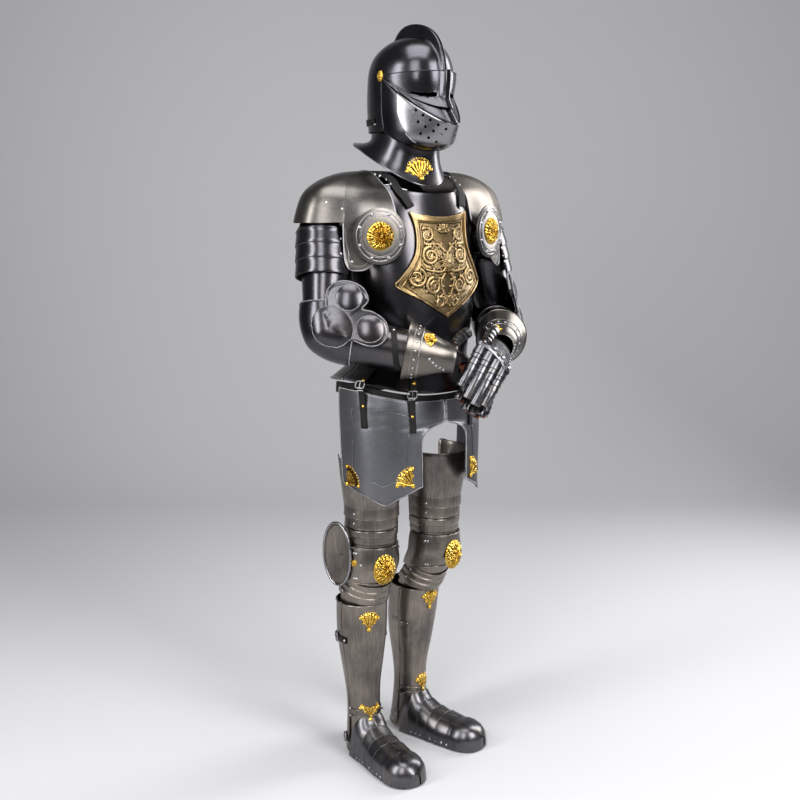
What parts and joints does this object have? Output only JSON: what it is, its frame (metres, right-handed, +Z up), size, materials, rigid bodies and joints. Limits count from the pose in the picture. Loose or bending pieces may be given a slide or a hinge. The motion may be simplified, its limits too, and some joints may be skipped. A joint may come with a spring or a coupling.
{
  "type": "suit of plate armour",
  "caption": "Full suit of plate armour, hollow and upright in its worn pose, with a visored helmet that opens, tassets, gauntlets and plate shoes.",
  "frame": {"origin": "between the shoulders, in the middle of the neck base inside the breastplate and backplate, where the wearer carries the suit", "axes": "+Z up, -Y the way the suit faces, +X to the suit's own left"},
  "size_m": [0.6813, 0.4965, 1.887],
  "materials": {
    "black_steel": "blackened and polished steel",
    "grey_steel": "brushed steel with a warm grey tone",
    "brass": "polished brass",
    "bronze": "antique bronze",
    "leather": "black strap leather"
  },
  "bodies": {
    "harness": {"skull": "black_steel", "bevor": "black_steel", "gorget": "black_steel", "gorget_fan": "brass", "nape_strap": "leather", "breastplate": "black_steel", "backplate": "black_steel", "chest_shield": "bronze", "waist_belt": "leather", "right_temple_rosette": "brass", "right_shoulder_strap": "leather", "right_tasset": "black_steel", "right_tasset_strap_outer": "leather", "right_tasset_strap_inner": "leather", "right_tasset_fan_outer": "brass", "right_tasset_fan_inner": "brass", "right_upper_cannon": "black_steel", "right_vambrace": "black_steel", "right_pauldron": "black_steel", "right_pauldron_lames": "black_steel", "right_besagew": "black_steel", "right_besagew_boss": "brass", "right_couter": "black_steel", "right_cuff": "black_steel", "right_hand": "black_steel", "right_thumb": "black_steel", "right_cuisse": "grey_steel", "right_knee_lames": "grey_steel", "right_poleyn": "grey_steel", "right_knee_boss": "brass", "right_shin_lames": "grey_steel", "right_greave": "grey_steel", "right_greave_back": "grey_steel", "right_sabaton": "grey_steel", "left_temple_rosette": "brass", "left_shoulder_strap": "leather", "left_tasset": "black_steel", "left_tasset_strap_outer": "leather", "left_tasset_strap_inner": "leather", "left_tasset_fan_outer": "brass", "left_tasset_fan_inner": "brass", "left_upper_cannon": "black_steel", "left_vambrace": "black_steel", "left_pauldron": "black_steel", "left_pauldron_lames": "black_steel", "left_besagew": "black_steel", "left_besagew_boss": "brass", "left_couter": "black_steel", "left_cuff": "black_steel", "left_hand": "black_steel", "left_thumb": "black_steel", "left_cuisse": "grey_steel", "left_knee_lames": "grey_steel", "left_poleyn": "grey_steel", "left_knee_boss": "brass", "left_shin_lames": "grey_steel", "left_greave": "grey_steel", "left_greave_back": "grey_steel", "left_sabaton": "grey_steel"},
    "visor": {"visor": "black_steel"}
  },
  "joints": [
    {"name": "visor_lift", "type": "hinge", "parent": "harness", "child": "visor", "pos_m": [0, -0.043, 0.33], "axis": [-1, 0, 0], "range_deg": [0, 40]}
  ]
}
